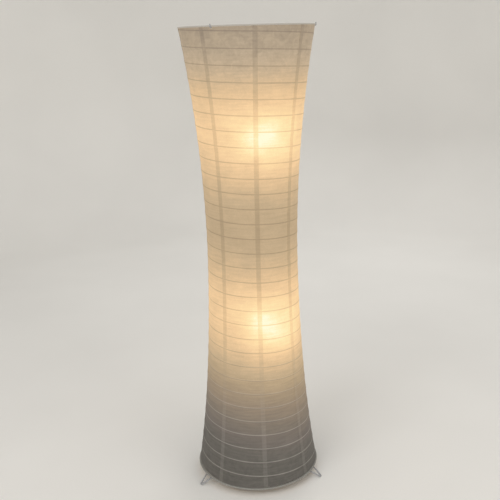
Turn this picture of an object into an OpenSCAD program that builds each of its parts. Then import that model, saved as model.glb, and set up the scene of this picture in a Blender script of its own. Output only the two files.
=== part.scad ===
// Paper lantern floor lamp: a waisted paper shade on one long spiral of rib wire, hung on a
// slim pole that carries two side-mounted bulbs. Millimetres, +Z up, the origin on the floor
// under the pole. Directions are given as a compass angle round the pole: 0 is the front (-Y),
// 90 is +X.

/* [Shade] */
// Height between the centres of the two end rings
shade_h = 1223; // [1100:1:1300]
// Radius of both end rings, to the centre of their wire
ring_r = 171.5; // [160:0.5:185]
// Radius of the rib wire's path at the waist
waist_r = 120.8; // [110:0.1:140]
// Radius of the rib wire's path where it reaches the end rings
rib_end_r = 170.2; // [158:0.1:183]
// Height of the waist over the bottom ring, as a share of the shade's height
waist_share = 0.531; // [0.4:0.001:0.6]
// How much of the lower flare is the fast-opening curve
flare_mix = 0.55; // [0:0.05:1]
// Thickness of the paper with its lacquer
paper_t = 0.5; // [0.3:0.1:0.8]
// Gap left between the two layers of paper where gores lap
glue_gap = 0.1; // [0.05:0.05:0.2]
// Width of the lap where two gores are glued
lap_w = 12; // [8:1:16]
// Compass angle of the first seam
seam_at = -38.5; // [-60:0.5:60]

/* [Shade wires] */
// Diameter of the spiral rib wire
rib_d = 1.8; // [1.2:0.1:2.4]
// Turns of the spiral between the two end rings
rib_turns = 31.27; // [24:0.01:31.27]
// Compass angle where the spiral leaves the top ring
rib_at = -120; // [-180:1:180]
// Diameter of the top ring's wire
top_wire_d = 2.4; // [2:0.1:3]
// Outer diameter of the paper binding on the top ring
top_bound_d = 3.2; // [2.8:0.1:4]
// Diameter of the bottom ring's wire
bottom_wire_d = 4; // [3:0.1:5]
// Outer diameter of the paper binding on the bottom ring
bottom_bound_d = 5.5; // [4.8:0.1:6]

/* [Stand] */
// Height of the bottom ring's centre over the floor
ring_lift = 22; // [20:0.5:30]
// Diameter of the bent wire of a foot
leg_d = 4; // [3:0.1:5]
// Radius at which the point of a foot stands
foot_r = 197; // [180:1:220]
// Distance between the two wires of a foot
leg_gap = 24; // [18:1:30]
// Compass angle of the first foot
leg_at = -55.9; // [-60:0.1:60]
// Radius of the base plate
plate_r = 50; // [45:1:60]
// Thickness of the base plate
plate_t = 3; // [2:0.5:4]
// Outer diameter of the pole
pole_d = 13; // [12:0.5:14]
// Bore of the pole
pole_bore_d = 8.8; // [8:0.1:9]
// Bore of the bush where a cord goes in
inlet_d = 6.4; // [6:0.1:7]

/* [Spider] */
// Diameter of the wire of the three arms
arm_d = 3; // [2.4:0.1:4]
// Compass angle of the first arm
arm_at = -28.7; // [-60:0.1:60]
// Height of a hook's tip over the top ring's centre
hook_up = 5; // [3:0.5:8]

/* [Bulbs] */
// Diameter of a bulb
bulb_d = 45; // [40:1:48]
// Distance of the bulbs from the pole's axis
bulb_out = 40; // [38:1:44]
// Compass angle at which the bulbs stand
bulb_turn = 35; // [0:1:90]
// Height of the upper bulb's centre over the floor
upper_z = 974; // [900:1:1000]
// Height of the lower bulb's centre over the floor
lower_z = 468; // [400:1:480]

/* [Hidden] */
$fn = 48;
ROUND = 144;           // facets round the shade
TURN_RINGS = 24;       // rings in one turn of the rib wire
RIB_SIDES = 6;
WALL_STEPS = 24;       // straight steps in the height of the paper's outline
GORES = 8;
LEGS = 3;
ARMS = 3;
BULBS = ["upper", "lower"];
SECTIONS = ["lower", "middle", "upper"];
WELD = 0.2;            // how far welded pieces run into one another
SLIDE_GAP = 0.3;       // gap to the ring and the bulbs, which lift away
REST_GAP = 0.1;

top_z = ring_lift + shade_h;
waist_z = ring_lift + waist_share * shade_h;
gore_turn = 360 / GORES;
wall_low = ring_lift + bottom_bound_d / 2 + SLIDE_GAP;
wall_high = top_z - top_bound_d / 2 - REST_GAP;
wall_in = rib_d / 2 + REST_GAP;     // inner face of the paper, out from the rib wire's centre

leg_z = ring_lift - bottom_bound_d / 2 - SLIDE_GAP - leg_d / 2;
leg_in = 30;                        // radius where the wires of a foot begin
leg_bend = ring_r + 2.5;            // radius where they turn down
plate_z = leg_z + leg_d / 2 - WELD;
cup_z = plate_z + plate_t;
CUP_H = 28;
CUP_R = 20;
CUP_WALL = 3;
CUP_TOP = 4;
FLANGE_R = 30;
SCREW_R = 25;                       // radius at which the base screws stand
inlet_z = cup_z + 12;
STUD_D = 9.9;                       // threaded ends, M10 fine
STUD_BORE = 10.1;
STUD_L = 12;
TOP_STUD_L = 10;        // the top one is short, so that its nut stays under the rim
NUT_AF = 14;                        // across the flats
NUT_H = 5;
pole_z = cup_z + CUP_H;
hub_z = top_z - top_bound_d / 2 - REST_GAP - arm_d + WELD;   // top of the spider's hub
HUB_R = 18;
HUB_T = 4;
arm_z = hub_z + arm_d / 2 - WELD;
arm_in = 9.5;
hook_r = ring_r + top_bound_d / 2 + REST_GAP + arm_d / 2;
pole_h = hub_z - HUB_T - pole_z;
section_h = pole_h / 3;
SLEEVE_H = 30;
SLEEVE_D = 17;

// Heights in a lamp holder, down from the centre of its bulb
CAP_LOW = 57;
CAP_TOP = 34;
DOME_LOW = 5;
SHELL_LOW = 71;
SHELL_TOP = 36;
CORE_LOW = 62;
CORE_TOP = 38;
CORE_FLOOR = 59;
BRACKET_T = 3;
BRACKET_W = 16;
NIPPLE_L = 18;
SHELL_D = 30;
SHELL_WALL = 1.5;
CORE_D = 26;
CAP_D = 13.9;                       // small edison screw
THREAD_GAP = 0.3;
COLLAR_H = 14;
COLLAR_D = 22;
LEAD_D = 2.6;
LEAD_DROP = 98;                     // where a lead leaves the pole, below its bulb
LEAD_END = 60;
LEAD_START = 9;                     // where a lead begins, just inside the bush
LEAD_SIDE = 1.6;                    // the two leads lie side by side in the pole

// A point at a radius, compass angle and height
function at(r, turn, z) = [r * sin(turn), -r * cos(turn), z];
function unit(v) = v / norm(v);
function bulb_z(b) = b == "upper" ? upper_z : lower_z;
function lead_side(b) = b == "upper" ? LEAD_SIDE : -LEAD_SIDE;
// A point given with X along the bulbs' brackets, turned to where they really stand
function aimed(x, y, z) =
    let (turn = bulb_turn - 90)
    [x * cos(turn) - y * sin(turn), x * sin(turn) + y * cos(turn), z];

// How far the shade has opened from its waist (0) to a ring (1)
function opened(s, up) = up ? s * s : flare_mix * pow(s, 1.5) + (1 - flare_mix) * pow(s, 3);
function rib_r(z) =
    let (up = z > waist_z,
         s = up ? (z - waist_z) / (top_z - waist_z) : (waist_z - z) / (waist_z - ring_lift))
    waist_r + (rib_end_r - waist_r) * opened(min(s, 1), up);

// ---- general shapes ----

module turned(points, turn = 360, facets = 64) {
    rotate_extrude(angle = turn, $fn = facets) polygon(points);
}

module tube(z, h, d_out, d_in) {
    translate([0, 0, z]) difference() {
        cylinder(h = h, d = d_out);
        translate([0, 0, -1]) cylinder(h = h + 2, d = d_in);
    }
}

module rod(a, b, d) {
    v = b - a;
    translate(a) rotate([0, acos(v.z / norm(v)), atan2(v.y, v.x)]) cylinder(h = norm(v), d = d);
}

// A bent wire: straight rods with a ball, a hair wider, at each bend
module wire(points, d) {
    for (i = [0:len(points) - 2]) rod(points[i], points[i + 1], d);
    for (i = [1:len(points) - 2]) translate(points[i]) sphere(d = d * 1.04);
}

module hoop(r, d, z) {
    translate([0, 0, z]) rotate_extrude($fn = ROUND) translate([r, 0]) circle(d = d);
}

module nut(z, bore) {
    translate([0, 0, z]) difference() {
        cylinder(h = NUT_H, d = NUT_AF / cos(30), $fn = 6);
        translate([0, 0, -1]) cylinder(h = NUT_H + 2, d = bore);
    }
}

// ---- stand ----

// One hairpin of wire: out under the bottom ring, down to a point on the floor and back
module foot_wire(i) {
    color("silver") rotate([0, 0, leg_at + (i - 1) * 360 / LEGS])
        wire([[-leg_gap / 2, -leg_in, leg_z], [-leg_gap / 2, -leg_bend, leg_z],
              [0, -foot_r, leg_d / 2 * 1.04],
              [leg_gap / 2, -leg_bend, leg_z], [leg_gap / 2, -leg_in, leg_z]], leg_d);
}

module base_plate() {
    color("silver") translate([0, 0, plate_z]) difference() {
        cylinder(h = plate_t, r = plate_r, $fn = 96);
        base_screw_places() translate([0, 0, -1]) cylinder(h = plate_t + 2, d = 4.2);
    }
}

module base_screw_places() {
    for (i = [1:LEGS]) rotate([0, 0, leg_at + 60 + i * 120]) translate([0, -SCREW_R, 0]) children();
}

// Low turned cup that holds the pole up and lets a cord in at the back
module base_cup() {
    inner = CUP_R - CUP_WALL;
    color("silver") translate([0, 0, cup_z]) difference() {
        turned([[inner, 0], [FLANGE_R, 0], [FLANGE_R, 2], [FLANGE_R - 1, 3], [CUP_R, 3],
                [CUP_R, CUP_H - 2], [CUP_R - 2, CUP_H], [STUD_BORE / 2, CUP_H],
                [STUD_BORE / 2, CUP_H - CUP_TOP], [inner, CUP_H - CUP_TOP]]);
        base_screw_places() translate([0, 0, -1]) cylinder(h = 5, d = 4.2);
        translate([0, inner - 5, inlet_z - cup_z]) rotate([-90, 0, 0]) cylinder(h = 12, d = 10);
    }
}

module base_screws() {
    color("silver") base_screw_places() {
        translate([0, 0, plate_z - 2.2]) turned([[0, 0], [2.2, 0], [3.5, 1.2], [3.5, 2.2], [0, 2.2]]);
        translate([0, 0, plate_z]) cylinder(h = plate_t + 3, d = 4);
        translate([0, 0, cup_z + 3]) cylinder(h = 3, d = 7 / cos(30), $fn = 6);
    }
}

module cord_bush() {
    bore = inlet_d / 2;
    wall_at = CUP_R - CUP_WALL;
    color("black") translate([0, 0, inlet_z]) rotate([-90, 0, 0])
        turned([[bore, wall_at - 3.5], [6.5, wall_at - 3.5], [6.5, wall_at - 1.9], [5, wall_at - 1.9],
                [5, CUP_R + 0.1], [6.5, CUP_R + 0.1], [6.5, CUP_R + 1.2], [5.7, CUP_R + 2],
                [bore, CUP_R + 2]]);
}

module pole_nut() {
    color("silver") nut(pole_z - CUP_TOP - NUT_H, STUD_BORE);
}

// The pole is three lengths of tube. Its two ends are turned down and threaded.
module pole_section(s) {
    n = search([s], SECTIONS)[0];
    z = pole_z + n * section_h;
    color("silver") difference() {
        union() {
            translate([0, 0, z]) cylinder(h = section_h, d = pole_d);
            if (s == "lower") translate([0, 0, z - STUD_L]) cylinder(h = STUD_L + 1, d = STUD_D);
            if (s == "upper")
                translate([0, 0, z + section_h - 1]) cylinder(h = TOP_STUD_L + 1, d = STUD_D);
        }
        translate([0, 0, z - STUD_L - 1]) cylinder(h = section_h + 2 * STUD_L + 2, d = pole_bore_d);
        aim() for (b = BULBS) translate([0, lead_side(b), bulb_z(b) - LEAD_DROP])
            rotate([0, 90, 0]) cylinder(h = pole_d, d = 4);
    }
}

module pole_sleeves() {
    color("silver") for (i = [1, 2])
        tube(pole_z + i * section_h - SLEEVE_H / 2, SLEEVE_H, SLEEVE_D, pole_d + 0.1);
}

// ---- spider ----

module spider_hub() {
    color("silver") tube(hub_z - HUB_T, HUB_T, 2 * HUB_R, STUD_BORE);
}

// Wire arm that passes under the top ring and turns up outside it
module spider_arm(i) {
    turn = arm_at + (i - 1) * 360 / ARMS;
    color("silver")
        wire([at(arm_in, turn, arm_z), at(hook_r, turn, arm_z), at(hook_r, turn, top_z + hook_up)],
             arm_d);
}

module cap_nut() {
    color("silver") translate([0, 0, hub_z]) difference() {
        turned([[0, 0], [9, 0], [9, 1.2], [7.5, 1.7], [7.5, 5.5], [5.2, 7.8], [0, 8.5]]);
        translate([0, 0, -1]) cylinder(h = 7.8, d = STUD_BORE);
    }
}

// ---- lamp holders ----

// Turns what is drawn with X along the brackets to where they really stand
module aim() {
    rotate([0, 0, bulb_turn - 90]) children();
}

module at_bulb(b) {
    aim() translate([bulb_out, 0, bulb_z(b)]) children();
}

// Steel arm: a collar round the pole and a flat tongue under the holder
module bracket(b) {
    z = bulb_z(b) - SHELL_LOW - BRACKET_T;
    color("silver") aim() difference() {
        union() {
            translate([0, 0, z]) cylinder(h = COLLAR_H, d = COLLAR_D);
            translate([0, -BRACKET_W / 2, z]) cube([bulb_out, BRACKET_W, BRACKET_T]);
            translate([bulb_out, 0, z]) cylinder(h = BRACKET_T, d = BRACKET_W);
        }
        translate([0, 0, z - 1]) cylinder(h = COLLAR_H + 2, d = pole_d + 0.1);
        translate([bulb_out, 0, z - 1]) cylinder(h = BRACKET_T + 2, d = STUD_BORE);
        translate([-COLLAR_D, 0, z + COLLAR_H / 2]) rotate([0, 90, 0]) cylinder(h = COLLAR_D, d = 4.1);
    }
}

module clamp_screws() {
    color("silver") aim() for (b = BULBS)
        translate([-pole_d / 2 - 0.05, 0, bulb_z(b) - SHELL_LOW - BRACKET_T + COLLAR_H / 2])
            rotate([0, -90, 0]) union() {
                cylinder(h = 6, d = 4);
                translate([0, 0, 5]) cylinder(h = 4, d = 8);
            }
}

module nipple(b) {
    color("silver") at_bulb(b) tube(-SHELL_LOW - BRACKET_T - NUT_H - 1, NIPPLE_L, STUD_D, 7);
}

module nipple_nuts() {
    color("silver") for (b = BULBS) at_bulb(b) {
        nut(-SHELL_LOW - BRACKET_T - NUT_H, STUD_BORE);
        nut(-SHELL_LOW + 2, STUD_BORE);
    }
}

module holder_shell(b) {
    r = SHELL_D / 2;
    color("whitesmoke") at_bulb(b)
        turned([[STUD_BORE / 2, -SHELL_LOW], [r - 3, -SHELL_LOW], [r, -SHELL_LOW + 3],
                [r, -SHELL_TOP - 1], [r - 0.5, -SHELL_TOP], [r - SHELL_WALL, -SHELL_TOP],
                [r - SHELL_WALL, -SHELL_LOW + 3.4], [r - 3.6, -SHELL_LOW + 2],
                [STUD_BORE / 2, -SHELL_LOW + 2]]);
}

module holder_core(b) {
    shell_r = CAP_D / 2 + THREAD_GAP + 0.5;
    color("ivory") at_bulb(b) difference() {
        translate([0, 0, -CORE_LOW]) cylinder(h = CORE_LOW - CORE_TOP, d = CORE_D);
        translate([0, 0, -CORE_FLOOR]) cylinder(h = CORE_FLOOR, r = shell_r);
        translate([0, lead_side(b), -CORE_LOW - 1]) cylinder(h = 6, d = LEAD_D + 0.4);
    }
}

module screw_shell(b) {
    bore = CAP_D + 2 * THREAD_GAP;
    color("gold") at_bulb(b) tube(-CORE_FLOOR + 1.5, CORE_FLOOR - CORE_TOP - 1.5, bore + 1, bore);
}

module contact_spring(b) {
    color("gold") at_bulb(b) translate([0, -2 * lead_side(b) / LEAD_SIDE, -CORE_FLOOR]) {
        translate([-5, -1.5, 0]) cube([10, 3, 0.4]);
        translate([0, 2 * lead_side(b) / LEAD_SIDE, 0]) cylinder(h = CORE_FLOOR - CAP_LOW - 0.9, d = 3);
    }
}

// ---- bulbs: a screw cap, a white body, the board of leds and the opal dome ----

module bulb_cap(b) {
    r = CAP_D / 2;
    color("silver") at_bulb(b)
        turned([[0, -CAP_LOW - 0.6], [2, -CAP_LOW - 0.3], [2.2, -CAP_LOW + 1], [5, -CAP_LOW + 4],
                [r - 0.6, -CAP_LOW + 4], [r, -CAP_LOW + 4.8], [r, -CAP_TOP], [r - 0.5, -CAP_TOP],
                [r - 0.5, -CAP_LOW + 6], [0, -CAP_LOW + 6]]);
}

module bulb_body(b) {
    r = CAP_D / 2;
    wide = bulb_d / 2 - 0.5;
    color("white") at_bulb(b)
        turned([[0, -CAP_TOP - 6], [r - 0.6, -CAP_TOP - 6], [r - 0.6, -CAP_TOP + 0.1],
                [r + 0.8, -CAP_TOP + 0.1], [r + 3, -CAP_TOP + 5], [wide - 5, -17],
                [wide, -DOME_LOW - 3], [wide, -DOME_LOW], [wide - 3, -DOME_LOW],
                [wide - 3, -DOME_LOW - 3.5], [0, -DOME_LOW - 3.5]]);
}

module led_board(b) {
    color("gold") at_bulb(b) translate([0, 0, -DOME_LOW - 3.4]) {
        cylinder(h = 1.4, r = bulb_d / 2 - 4);
        for (i = [0:7]) rotate([0, 0, i * 45]) translate([11, 0, 1.3]) cylinder(h = 0.8, d = 3);
    }
}

module bulb_dome(b) {
    low = -DOME_LOW + 0.1;
    color("lightyellow") at_bulb(b) difference() {
        sphere(d = bulb_d, $fn = 72);
        sphere(d = bulb_d - 2, $fn = 72);
        translate([0, 0, low - bulb_d]) cylinder(h = bulb_d, d = bulb_d + 2);
    }
}

// Mains lead of one holder: in at the cup, up the pole, out by a side hole and up the nipple
module lead(b) {
    side = lead_side(b);
    out_z = bulb_z(b) - LEAD_DROP;
    up = aimed(side, side, inlet_z);
    color("white")
        wire([[up.x, LEAD_START, inlet_z], up, aimed(side, side, out_z),
              aimed(bulb_out, side, out_z), aimed(bulb_out, side, bulb_z(b) - LEAD_END)], LEAD_D);
}

// ---- shade ----

module top_ring() {
    color("silver") hoop(ring_r, top_wire_d, top_z);
}

module bottom_ring() {
    color("silver") hoop(ring_r, bottom_wire_d, ring_lift);
}

// Paper strip wrapped round an end ring
module binding(bound_d, wire_d, z) {
    translate([0, 0, z]) rotate_extrude($fn = ROUND) translate([ring_r, 0]) difference() {
        circle(d = bound_d);
        circle(d = wire_d + 0.04);
    }
}

module top_binding() {
    color("antiquewhite") binding(top_bound_d, top_wire_d, top_z);
}

module bottom_binding() {
    color("antiquewhite") binding(bottom_bound_d, bottom_wire_d, ring_lift);
}

// Centre line of the rib wire. It starts straight down from the top ring's binding, winds down
// left-handed, and ends straight down, just over the bottom ring's binding.
rib_pitch = shade_h / rib_turns;
STUB = rib_d * 1.3;
SUNK = 0.8;            // how far the wire's top end runs up beside the top ring
rib_first = 360 * (top_bound_d / 2 + STUB) / rib_pitch;
rib_last = 360 * (rib_turns - (bottom_bound_d / 2 + SLIDE_GAP + STUB) / rib_pitch);
rib_steps = floor((rib_last - rib_first) * TURN_RINGS / 360);
function rib_turn(i) = rib_first + (rib_last - rib_first) * i / rib_steps;
function rib_z(turn) = top_z - rib_pitch * turn / 360;
function rib_at_turn(turn) = at(rib_r(rib_z(turn)), rib_at + turn, rib_z(turn));
function rib_path() = concat(
    [rib_at_turn(rib_first) + [0, 0, STUB + SUNK]],
    [for (i = [0:rib_steps]) rib_at_turn(rib_turn(i))],
    [rib_at_turn(rib_last) - [0, 0, STUB]]);
// Compass angle of each ring of the path
function rib_angles() = concat([rib_at + rib_first],
    [for (i = [0:rib_steps]) rib_at + rib_turn(i)], [rib_at + rib_last]);

// One ring of corners, square to the path and mitred where it turns
function rib_corners(p, angles, i) =
    let (d_in = unit(p[max(i, 1)] - p[max(i, 1) - 1]),
         d_out = unit(p[min(i, len(p) - 2) + 1] - p[min(i, len(p) - 2)]),
         n = unit(d_in + d_out),
         out = at(1, angles[i], 0),
         flat_out = unit(out - (out * n) * n),
         side = cross(n, flat_out) / (n * d_in))
    [for (k = [0:RIB_SIDES - 1])
        p[i] + rib_d / 2 * (cos(k * 360 / RIB_SIDES) * flat_out + sin(k * 360 / RIB_SIDES) * side)];

module rib_wire() {
    path = rib_path();
    angles = rib_angles();
    n = len(path);
    points = [for (i = [0:n - 1], c = rib_corners(path, angles, i)) c];
    sides = [for (i = [0:n - 2], k = [0:RIB_SIDES - 1])
        let (a = i * RIB_SIDES + k, b = i * RIB_SIDES + (k + 1) % RIB_SIDES)
        each [[a, b, a + RIB_SIDES], [b, b + RIB_SIDES, a + RIB_SIDES]]];
    ends = [for (k = [1:RIB_SIDES - 2])
        each [[0, k + 1, k], [(n - 1) * RIB_SIDES, (n - 1) * RIB_SIDES + k, (n - 1) * RIB_SIDES + k + 1]]];
    // Every point of one turn is compared with the points about one turn further on
    gaps = [for (i = [0:n - TURN_RINGS - 4], j = [i + TURN_RINGS - 3:i + TURN_RINGS + 3])
        norm(path[i] - path[j])];
    echo(least_gap_of_the_rib_wire_to_itself = min(gaps) - rib_d, triangles = len(sides) + len(ends));
    color("lightgray") polyhedron(points, concat(sides, ends));
}

// Outline of the wall of paper, one layer thick. The second layer lies outside the first.
function wall_z(i) = wall_low + (wall_high - wall_low) * i / WALL_STEPS;
function wall_side(out, back) =
    [for (i = [0:WALL_STEPS]) let (z = wall_z(back ? WALL_STEPS - i : i)) [rib_r(z) + out, z]];

module paper_wall(layer) {
    inner = wall_in + layer * (paper_t + glue_gap);
    rotate_extrude($fn = ROUND)
        polygon(concat(wall_side(inner, false), wall_side(inner + paper_t, true)));
}

// The sector of one gore, widened by half a lap on each side
module gore_sector(turn) {
    reach = 2 * ring_r;
    apex = -lap_w / 2 / sin(gore_turn / 2);
    rotate([0, 0, turn + gore_turn / 2])
        linear_extrude(height = top_z + 10)
            polygon([[0, -apex],
                     [reach * sin(gore_turn / 2) + lap_w / 2 * cos(gore_turn / 2),
                      -reach * cos(gore_turn / 2) + lap_w / 2 * sin(gore_turn / 2)],
                     [-reach * sin(gore_turn / 2) - lap_w / 2 * cos(gore_turn / 2),
                      -reach * cos(gore_turn / 2) + lap_w / 2 * sin(gore_turn / 2)]]);
}

module arm_slits() {
    for (i = [1:ARMS]) rotate([0, 0, arm_at + (i - 1) * 360 / ARMS])
        translate([-2.5, -hook_r - 5, arm_z - arm_d / 2 - 0.8]) cube([5, 30, 20]);
}

module paper_gore(i) {
    color("antiquewhite") difference() {
        intersection() {
            paper_wall(i % 2);
            gore_sector(seam_at + (i - 1) * gore_turn);
        }
        arm_slits();
    }
}

for (i = [1:LEGS]) foot_wire(i);
base_plate();
base_cup();
base_screws();
cord_bush();
pole_nut();
for (s = SECTIONS) pole_section(s);
pole_sleeves();
spider_hub();
for (i = [1:ARMS]) spider_arm(i);
cap_nut();
clamp_screws();
nipple_nuts();
for (b = BULBS) {
    bracket(b);
    nipple(b);
    holder_shell(b);
    holder_core(b);
    screw_shell(b);
    contact_spring(b);
    bulb_cap(b);
    bulb_body(b);
    led_board(b);
    bulb_dome(b);
    lead(b);
}
top_ring();
top_binding();
bottom_ring();
bottom_binding();
rib_wire();
for (i = [1:GORES]) paper_gore(i);
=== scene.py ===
"""Paper lantern floor lamp: the looks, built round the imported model.

Everything is in metres, with +Z up and the front towards -Y. Directions round the pole are
compass angles: 0 is the front and a quarter turn is +X.
"""

import math
from functools import partial

import bmesh
import bpy
import numpy as np
from bpy.props import FloatProperty, FloatVectorProperty, PointerProperty
from mathutils import Matrix, Vector


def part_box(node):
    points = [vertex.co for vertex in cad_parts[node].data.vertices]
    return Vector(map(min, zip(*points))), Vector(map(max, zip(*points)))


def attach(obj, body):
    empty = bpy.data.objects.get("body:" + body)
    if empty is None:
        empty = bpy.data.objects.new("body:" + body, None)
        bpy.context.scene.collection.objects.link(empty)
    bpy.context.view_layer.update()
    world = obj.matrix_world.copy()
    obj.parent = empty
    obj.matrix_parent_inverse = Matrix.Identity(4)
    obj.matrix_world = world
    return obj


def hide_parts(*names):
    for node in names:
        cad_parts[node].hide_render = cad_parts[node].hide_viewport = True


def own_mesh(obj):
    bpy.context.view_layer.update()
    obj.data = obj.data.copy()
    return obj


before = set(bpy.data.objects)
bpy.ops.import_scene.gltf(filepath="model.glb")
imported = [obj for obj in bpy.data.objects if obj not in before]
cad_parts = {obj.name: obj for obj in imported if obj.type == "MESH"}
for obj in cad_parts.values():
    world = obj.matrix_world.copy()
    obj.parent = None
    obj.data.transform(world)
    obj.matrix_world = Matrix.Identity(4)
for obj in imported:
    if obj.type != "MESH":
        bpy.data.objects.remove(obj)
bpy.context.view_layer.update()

bl_info = {
    "name": "Paper lantern floor lamp",
    "version": (1, 0, 0),
    "blender": (4, 5, 0),
    "location": "3D View > Sidebar > Lantern",
    "description": "Builds the pieces of a paper lantern floor lamp round its packed frame",
    "category": "Object",
}

MM = 0.001
GORES = 8
LEGS = 3
ARMS = 3
BULBS = ("upper", "lower")


def middle_height(node):
    """Height of the middle of a node of the frame."""
    low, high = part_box(node)
    return (low.z + high.z) / 2


TOP_Z = middle_height("top_ring")
LOW_Z = middle_height("bottom_ring")
# Radius of the top ring's middle line, which lies 1.4 mm inside the mean of its binding's and
# its wire's outer radii
RING_R = (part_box("top_binding")[1].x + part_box("top_ring")[1].x) / 2 - 1.4 * MM
PAPER_LOW = min(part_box(f"paper_gore_{i}")[0].z for i in range(1, GORES + 1))
PAPER_HIGH = max(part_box(f"paper_gore_{i}")[1].z for i in range(1, GORES + 1))


def linear(tone):
    """Linear RGB of an sRGB hex colour."""
    parts = [int(tone[i : i + 2], 16) / 255 for i in (1, 3, 5)]
    return tuple(c / 12.92 if c <= 0.04045 else ((c + 0.055) / 1.055) ** 2.4 for c in parts)


def size_of(name, description, millimetres):
    """A length that the user can change."""
    return FloatProperty(
        name=name, description=description, default=millimetres * MM, unit="LENGTH"
    )


def share_of(name, description, share):
    """A share of the whole that the user can change."""
    return FloatProperty(
        name=name, description=description, default=share, min=0, max=1, subtype="FACTOR"
    )


def angle_of(name, description, degrees):
    """An angle that the user can change."""
    return FloatProperty(
        name=name, description=description, default=math.radians(degrees), subtype="ANGLE"
    )


def colour_of(name, description, tone):
    """A colour that the user can change."""
    return FloatVectorProperty(
        name=name,
        description=description,
        default=linear(tone),
        size=3,
        min=0,
        max=1,
        subtype="COLOR",
    )


class LanternShade(bpy.types.PropertyGroup):
    """Sizes of the paper shade and its spiral wire."""

    waist_radius: size_of("Waist radius", "Radius of the rib wire's path at the waist", 120.8)
    end_radius: size_of("End radius", "Radius of the rib wire's path at the end rings", 170.2)
    waist_share: share_of("Waist height", "Height of the waist in the shade's height", 0.531)
    flare: share_of("Lower flare", "Share of the fast-opening curve in the lower flare", 0.55)
    turns: FloatProperty(
        name="Turns", description="Turns of the spiral between the end rings", default=31.27
    )
    rib_angle: angle_of("Rib start", "Compass angle where the spiral leaves the top ring", -120)
    seam_angle: angle_of("First seam", "Compass angle of the first seam", -38.5)
    lap: size_of("Lap", "Width of the lap where two gores are glued", 12)
    paper: size_of("Paper", "Thickness of the lacquered paper", 0.5)
    glue_gap: size_of("Glue gap", "Gap between the two layers of a lap", 0.1)
    rib_wire: size_of("Rib wire", "Diameter of the spiral wire", 1.8)
    sag: size_of("Sag", "How far the paper draws in between two ribs", 0.7)
    wrinkle: size_of("Wrinkle", "Height of the wrinkles in the paper", 0.1)


class LanternStand(bpy.types.PropertyGroup):
    """Sizes of the bent wires and leads of the stand."""

    foot_wire: size_of("Foot wire", "Diameter of the wire of a foot", 4)
    foot_radius: size_of("Foot radius", "Radius at which the tip of a foot stands", 199)
    foot_gap: size_of("Foot gap", "Distance between the two wires of a foot", 24)
    foot_angle: angle_of("First foot", "Compass angle of the first foot", -55.9)
    arm_wire: size_of("Arm wire", "Diameter of the wire of a spider arm", 3)
    arm_angle: angle_of("First arm", "Compass angle of the first spider arm", -28.7)
    lead: size_of("Lead", "Diameter of the mains lead of a lamp holder", 2.6)


class LanternBulbs(bpy.types.PropertyGroup):
    """Places of the two bulbs and the reach of their light on the paper."""

    out: size_of("Distance out", "Distance of the bulbs from the pole's axis", 40)
    turn: angle_of("Angle", "Compass angle at which the bulbs stand", 35)
    upper: size_of("Upper bulb", "Height of the upper bulb's centre", 974)
    lower: size_of("Lower bulb", "Height of the lower bulb's centre", 468)
    glare_angle: angle_of("Glare", "Compass angle of the brightest paper", 8.8)
    ring_reach: size_of("Ring reach", "Height over which the light fades round the shade", 329)
    halo_reach: size_of("Halo reach", "Distance over which the light near a bulb fades", 115)
    glare_reach: size_of("Glare reach", "Distance over which the glare fades", 60)
    glow: FloatProperty(
        name="Glow",
        description="Light that comes through the paper, 1 as in a dark room",
        default=1.0,
        min=0,
        subtype="FACTOR",
    )


class LanternColours(bpy.types.PropertyGroup):
    """Colours of the finishes."""

    paper: colour_of("Paper", "Unlit lacquered paper", "#5F5C57")
    # Painted highlight: the paper over a rib and on a lap is paler at the dim lower end
    crest_highlight: colour_of("Paper crest", "Unlit paper where it is drawn over a rib", "#8A8680")
    strip: colour_of("Binding", "Paper strip on the end rings", "#918F89")
    coat: colour_of("Coat", "Powder coat on wire and tube", "#A4A4A6")
    # Painted shade: the darker coat tone lies between the peel's bumps
    coat_hollow_shade: colour_of("Coat, hollows", "Powder coat between its bumps", "#949496")
    rib: colour_of("Rib enamel", "Enamel on the rib wire", "#C4BEB2")
    plastic: colour_of("White plastic", "Moulded holder shells and bulb bodies", "#D8D7D2")
    ceramic: colour_of("Ceramic", "Fired steatite of the holder cores", "#D9D2C4")
    sheath: colour_of("Sheath", "Sheath of the leads", "#D0CFCA")
    rubber: colour_of("Rubber", "Bush in the base cup", "#242424")


# ---- materials ----

DULLER = 0.04  # how much rougher the darker parts of a finish are
FINE_SHARE = 0.6  # weight of the fine grain against the slow cloud
BOTH_RANGE = (0.55, 1.0)  # where the two together lie


def add_node(tree, kind, inputs=(), output=0, **settings):
    """Adds a node with its settings and links, and gives one of its outputs. The inputs are
    values or other nodes' outputs, in order or by name."""
    made = tree.nodes.new("ShaderNode" + kind)
    for name, value in settings.items():
        setattr(made, name, value)
    named = inputs.items() if isinstance(inputs, dict) else enumerate(inputs)
    for socket, value in named:
        if isinstance(value, bpy.types.NodeSocket):
            tree.links.new(value, made.inputs[socket])
        else:
            made.inputs[socket].default_value = value
    return made.outputs[output]


def finish_of(name, build, *tones, **details):
    """The material of that name, made on first use."""
    found = bpy.data.materials.get(name)
    if found:
        return found
    made = bpy.data.materials.new(name)
    made.use_nodes = True
    build(made.node_tree, made.node_tree.nodes["Principled BSDF"], *tones, **details)
    return made


def toned(colour, factor):
    """The colour, made darker or lighter."""
    return tuple(c * factor for c in colour)


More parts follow.
